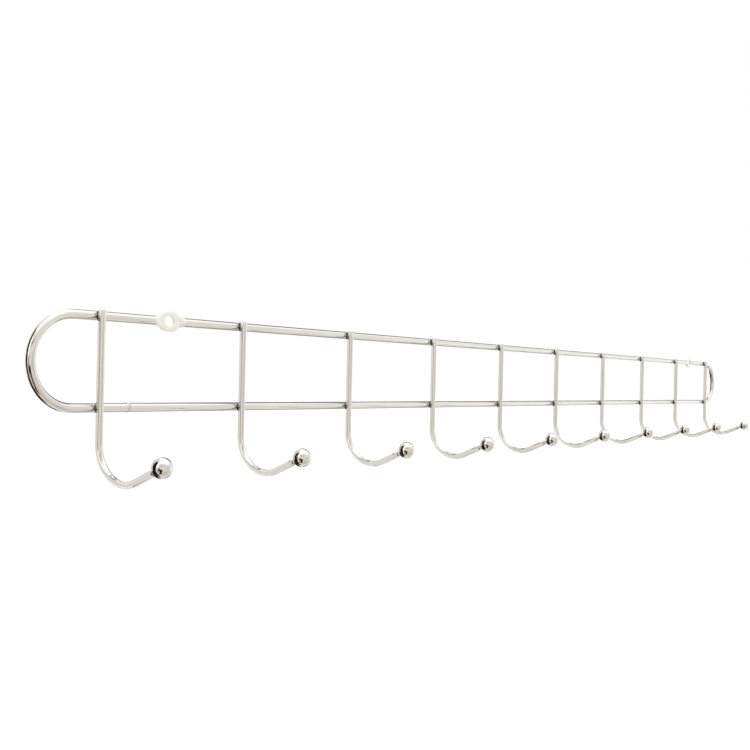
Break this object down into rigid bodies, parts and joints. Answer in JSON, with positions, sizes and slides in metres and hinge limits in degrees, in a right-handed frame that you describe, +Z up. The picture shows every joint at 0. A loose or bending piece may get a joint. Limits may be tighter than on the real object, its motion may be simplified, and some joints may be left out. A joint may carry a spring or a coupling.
{
  "type": "wall hook rack",
  "caption": "Long wall rack of chrome-plated steel wire: a round-ended loop frame with pressed screw eyes and a row of J-shaped, ball-tipped hooks welded across its front.",
  "frame": {"origin": "on the wall plane, midway between the two screw eyes, at the height of the upper rail's centre", "axes": "+X along the rack to the right as seen from the room, +Y into the wall, +Z up; the frame wire's back is at Y = 0 and the hooks reach out towards -Y"},
  "size_m": [0.784, 0.0472, 0.0725],
  "materials": {
    "chrome_wire": "bright nickel-chrome plating on drawn steel wire, mirror gloss with faint drawing lines",
    "chrome_ball": "bright nickel-chrome plating on a polished steel ball, mirror gloss",
    "pressed_eye": "chrome plating over a pressed face, softer and paler than the wire",
    "weld_metal": "chrome plating over weld metal, slightly rough"
  },
  "bodies": {
    "root": {"frame_bow_left": "chrome_wire", "frame_bow_right": "chrome_wire", "frame_upper_rail": "chrome_wire", "frame_lower_rail": "chrome_wire", "frame_butt_weld": "weld_metal", "screw_eye_left": "pressed_eye", "screw_eye_right": "pressed_eye", "hook_01": "chrome_wire", "hook_02": "chrome_wire", "hook_03": "chrome_wire", "hook_04": "chrome_wire", "hook_05": "chrome_wire", "hook_06": "chrome_wire", "hook_07": "chrome_wire", "hook_08": "chrome_wire", "hook_09": "chrome_wire", "hook_10": "chrome_wire", "ball_tip_01": "chrome_ball", "ball_tip_02": "chrome_ball", "ball_tip_03": "chrome_ball", "ball_tip_04": "chrome_ball", "ball_tip_05": "chrome_ball", "ball_tip_06": "chrome_ball", "ball_tip_07": "chrome_ball", "ball_tip_08": "chrome_ball", "ball_tip_09": "chrome_ball", "ball_tip_10": "chrome_ball"}
  },
  "joints": []
}
